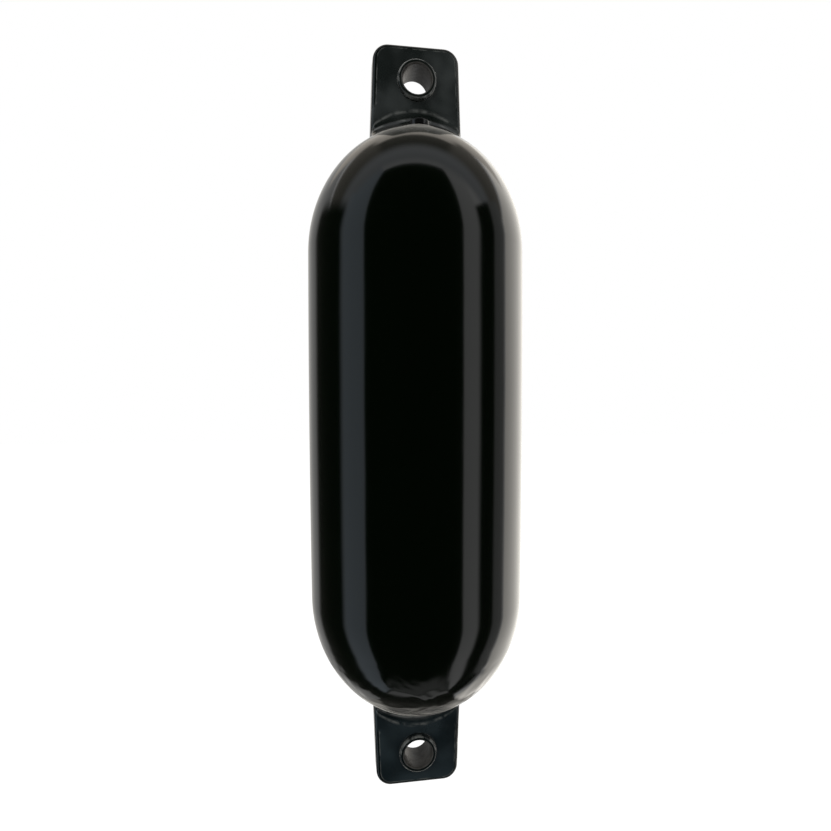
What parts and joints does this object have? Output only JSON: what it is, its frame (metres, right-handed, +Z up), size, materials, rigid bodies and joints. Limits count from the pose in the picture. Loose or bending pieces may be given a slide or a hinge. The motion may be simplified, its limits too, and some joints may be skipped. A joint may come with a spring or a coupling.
{
  "type": "inflatable boat fender",
  "caption": "Cylindrical inflatable boat fender with domed ends, a flat tab with a bored eye at each end and a needle valve plug beside the upper tab.",
  "frame": {"origin": "centre of the upper eye, where the fender hangs", "axes": "+Z up along the fender's length, +Y along the upper eye's hole towards the back, +X across the tabs; the valve is on the -Y side of the upper tab"},
  "size_m": [0.14, 0.14, 0.486],
  "materials": {
    "black_vinyl": "gloss",
    "valve_rubber": "matte"
  },
  "bodies": {
    "root": {"fender_body": "black_vinyl", "valve_plug": "valve_rubber"}
  },
  "joints": []
}
